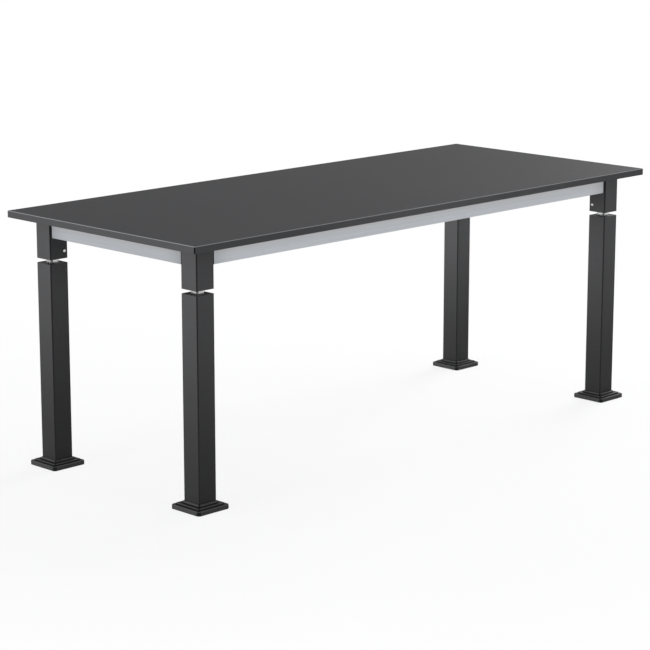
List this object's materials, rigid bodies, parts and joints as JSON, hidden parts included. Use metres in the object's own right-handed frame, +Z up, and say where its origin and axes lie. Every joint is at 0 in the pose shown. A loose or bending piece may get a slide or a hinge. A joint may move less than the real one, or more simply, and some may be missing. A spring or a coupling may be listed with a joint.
{
  "type": "laboratory table",
  "caption": "Free-standing laboratory table: a thin resin worktop on an aluminium rail frame and square legs that level on jack screws, with stepped boots.",
  "frame": {"origin": "on the floor, under the middle of the worktop", "axes": "+X along the worktop's length towards the right end, +Y towards the back, +Z up"},
  "size_m": [1.829, 0.762, 0.716],
  "materials": {
    "black_resin": "fine matt solid resin",
    "black_powder_coat": "satin black powder coat on steel",
    "brushed_aluminium": "brushed along its length, clear anodised",
    "zinc_plate": "bright zinc plated steel",
    "plain_steel": "plain machined steel",
    "black_rubber": "matt moulded black rubber"
  },
  "bodies": {
    "frame": {"worktop": "black_resin", "front_rail": "brushed_aluminium", "right_rail": "brushed_aluminium", "back_rail": "brushed_aluminium", "left_rail": "brushed_aluminium", "top_screw_front_1": "zinc_plate", "top_screw_front_2": "zinc_plate", "top_screw_front_3": "zinc_plate", "top_screw_back_1": "zinc_plate", "top_screw_back_2": "zinc_plate", "top_screw_back_3": "zinc_plate", "top_screw_left_1": "zinc_plate", "top_screw_right_1": "zinc_plate", "leg_head_back_right": "black_powder_coat", "leg_head_back_left": "black_powder_coat", "leg_head_front_left": "black_powder_coat", "leg_head_front_right": "black_powder_coat", "bearing_block_back_right": "plain_steel", "bearing_block_back_left": "plain_steel", "bearing_block_front_left": "plain_steel", "bearing_block_front_right": "plain_steel", "head_screw_back_right_1": "zinc_plate", "head_screw_back_right_2": "zinc_plate", "head_screw_back_left_1": "zinc_plate", "head_screw_back_left_2": "zinc_plate", "head_screw_front_left_1": "zinc_plate", "head_screw_front_left_2": "zinc_plate", "head_screw_front_right_1": "zinc_plate", "head_screw_front_right_2": "zinc_plate", "rail_bolt_back_right_back": "zinc_plate", "rail_bolt_back_right_right": "zinc_plate", "rail_bolt_back_left_left": "zinc_plate", "rail_bolt_back_left_back": "zinc_plate", "rail_bolt_front_left_front": "zinc_plate", "rail_bolt_front_left_left": "zinc_plate", "rail_bolt_front_right_right": "zinc_plate", "rail_bolt_front_right_front": "zinc_plate"},
    "leg_back_right": {"leg_tube_back_right": "black_powder_coat", "nut_plate_back_right": "black_powder_coat", "foot_back_right": "black_rubber"},
    "leg_back_left": {"leg_tube_back_left": "black_powder_coat", "nut_plate_back_left": "black_powder_coat", "foot_back_left": "black_rubber"},
    "leg_front_left": {"leg_tube_front_left": "black_powder_coat", "nut_plate_front_left": "black_powder_coat", "foot_front_left": "black_rubber"},
    "leg_front_right": {"leg_tube_front_right": "black_powder_coat", "nut_plate_front_right": "black_powder_coat", "foot_front_right": "black_rubber"},
    "screw_back_right": {"jack_screw_back_right": "zinc_plate", "retaining_ring_back_right": "zinc_plate"},
    "screw_back_left": {"jack_screw_back_left": "zinc_plate", "retaining_ring_back_left": "zinc_plate"},
    "screw_front_left": {"jack_screw_front_left": "zinc_plate", "retaining_ring_front_left": "zinc_plate"},
    "screw_front_right": {"jack_screw_front_right": "zinc_plate", "retaining_ring_front_right": "zinc_plate"}
  },
  "joints": [
    {"name": "leg_slide_back_right", "type": "slide", "parent": "frame", "child": "leg_back_right", "axis": [0, 0, -1], "range_m": [-0.0018, 0.024]},
    {"name": "leg_slide_back_left", "type": "slide", "parent": "frame", "child": "leg_back_left", "axis": [0, 0, -1], "range_m": [-0.0018, 0.024]},
    {"name": "leg_slide_front_left", "type": "slide", "parent": "frame", "child": "leg_front_left", "axis": [0, 0, -1], "range_m": [-0.0018, 0.024]},
    {"name": "leg_slide_front_right", "type": "slide", "parent": "frame", "child": "leg_front_right", "axis": [0, 0, -1], "range_m": [-0.0018, 0.024]},
    {"name": "screw_turn_back_right", "type": "hinge", "parent": "frame", "child": "screw_back_right", "pos_m": [0.83, 0.2965, 0.5864], "axis": [0, 0, 1], "range_deg": [-133, 1732]},
    {"name": "screw_turn_back_left", "type": "hinge", "parent": "frame", "child": "screw_back_left", "pos_m": [-0.83, 0.2965, 0.5864], "axis": [0, 0, 1], "range_deg": [-133, 1732]},
    {"name": "screw_turn_front_left", "type": "hinge", "parent": "frame", "child": "screw_front_left", "pos_m": [-0.83, -0.2965, 0.5864], "axis": [0, 0, 1], "range_deg": [-133, 1732]},
    {"name": "screw_turn_front_right", "type": "hinge", "parent": "frame", "child": "screw_front_right", "pos_m": [0.83, -0.2965, 0.5864], "axis": [0, 0, 1], "range_deg": [-133, 1732]}
  ],
  "couplings": [
    {"joint": "screw_turn_back_right", "follows": "leg_slide_back_right", "rad_per_m": 1256.6},
    {"joint": "screw_turn_back_left", "follows": "leg_slide_back_left", "rad_per_m": 1256.6},
    {"joint": "screw_turn_front_left", "follows": "leg_slide_front_left", "rad_per_m": 1256.6},
    {"joint": "screw_turn_front_right", "follows": "leg_slide_front_right", "rad_per_m": 1256.6}
  ]
}
